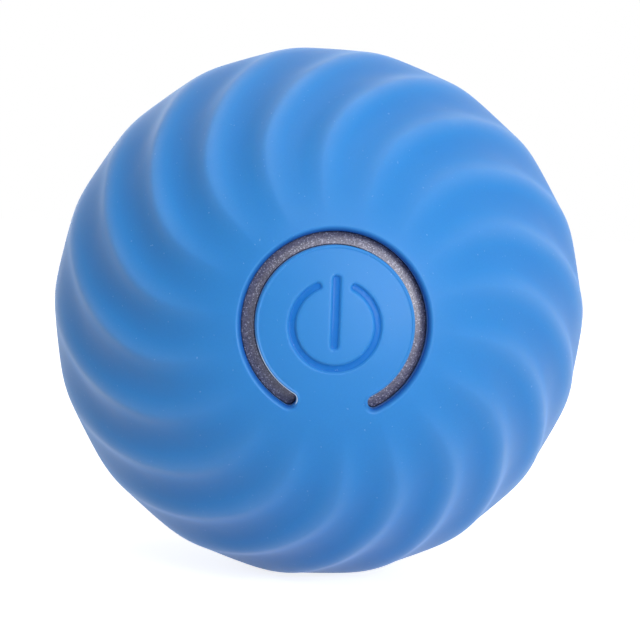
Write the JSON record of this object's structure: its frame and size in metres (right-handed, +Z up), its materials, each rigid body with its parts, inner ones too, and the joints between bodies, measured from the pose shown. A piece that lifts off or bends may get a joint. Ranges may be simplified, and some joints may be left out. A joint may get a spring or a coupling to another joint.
{
  "type": "self rolling cat ball",
  "caption": "Ball for cats that rolls by itself: soft fluted cover, round button in a smoked light ring, weighted motor core on bearings, and a charging port under a soft flap.",
  "frame": {"origin": "centre of the ball", "axes": "the ball turns about Y; the button faces -Y and the charging port +Y; +Z is up, away from the counterweight"},
  "size_m": [0.043, 0.043, 0.0428],
  "materials": {
    "blue_silicone": "matt, soft touch",
    "smoked_lens": "smoked, fine grain",
    "shell_plastic": "fine spark texture",
    "core_plastic": "natural, satin",
    "gear_plastic": "satin",
    "hub_gear_plastic": "satin",
    "board": "solder mask, satin",
    "steel": "plated",
    "zinc": "die cast",
    "brass": "turned",
    "black_plastic": "matt",
    "cell_wrap": "laminated foil",
    "foam": "open foam",
    "lamp": "clear resin"
  },
  "bodies": {
    "shell": {"silicone_cover": "blue_silicone", "front_shell": "shell_plastic", "rear_shell": "shell_plastic", "light_lens": "smoked_lens", "hub_gear": "hub_gear_plastic", "flap_anchor": "blue_silicone", "shell_screw_1": "steel", "shell_screw_2": "steel", "shell_screw_3": "steel"},
    "button": {"power_button": "blue_silicone"},
    "plunger": {"button_plunger": "black_plastic"},
    "flap": {"port_flap": "blue_silicone"},
    "core": {"core_frame": "core_plastic", "front_carrier": "core_plastic", "gear_bridge": "core_plastic", "carrier_screw_1": "steel", "carrier_screw_2": "steel", "carrier_screw_3": "steel", "bridge_screw_1": "steel", "bridge_screw_2": "steel", "bridge_screw_3": "steel", "main_board": "board", "led_1": "lamp", "led_2": "lamp", "led_3": "lamp", "led_4": "lamp", "control_chip": "black_plastic", "switch_body": "black_plastic", "battery": "cell_wrap", "battery_pad": "foam", "counterweight": "zinc", "motor_can": "steel", "motor_end_cap": "black_plastic", "gear_pin_1": "steel", "gear_pin_2": "steel", "charge_board": "board", "usb_socket": "steel", "usb_tongue": "black_plastic", "port_rim": "black_plastic"},
    "actuator": {"switch_actuator": "brass"},
    "rotor": {"motor_shaft": "steel", "motor_pinion": "brass"},
    "wheel_1": {"gear_1": "gear_plastic"},
    "wheel_2": {"gear_2": "gear_plastic"}
  },
  "joints": [
    {"name": "plunger_slide", "type": "slide", "parent": "shell", "child": "plunger", "axis": [0, 1, 0], "range_m": [0, 0.00025], "stiffness_N_per_m": 100},
    {"name": "button_press", "type": "hinge", "parent": "shell", "child": "button", "pos_m": [0, -0.01988, -0.0063], "axis": [-1, 0, 0], "range_deg": [0, 2.3]},
    {"name": "flap_open", "type": "hinge", "parent": "shell", "child": "flap", "pos_m": [0, 0.02004, 0.0078], "axis": [1, 0, 0], "range_deg": [0, 110], "stiffness_Nm_per_rad": 0.0003},
    {"name": "core_swing", "type": "hinge", "parent": "shell", "child": "core", "pos_m": [0, 0, 0], "axis": [0, 1, 0], "continuous": true},
    {"name": "switch_press", "type": "slide", "parent": "core", "child": "actuator", "axis": [0, 1, 0], "range_m": [0, 0.00026]},
    {"name": "motor_spin", "type": "hinge", "parent": "core", "child": "rotor", "pos_m": [-0.00765, 0, 0], "axis": [0, 1, 0], "continuous": true},
    {"name": "wheel_1_spin", "type": "hinge", "parent": "core", "child": "wheel_1", "pos_m": [-0.00808, 0, -0.00639], "axis": [0, 1, 0], "continuous": true},
    {"name": "wheel_2_spin", "type": "hinge", "parent": "core", "child": "wheel_2", "pos_m": [-0.00281, 0, -0.01001], "axis": [0, 1, 0], "continuous": true}
  ],
  "couplings": [
    {"joint": "button_press", "follows": "plunger_slide", "rad_per_m": 158.73},
    {"joint": "switch_press", "follows": "plunger_slide", "ratio": 1},
    {"joint": "wheel_2_spin", "follows": "core_swing", "ratio": 4.2},
    {"joint": "wheel_1_spin", "follows": "core_swing", "ratio": -9.24},
    {"joint": "motor_spin", "follows": "core_swing", "ratio": 20.328}
  ]
}
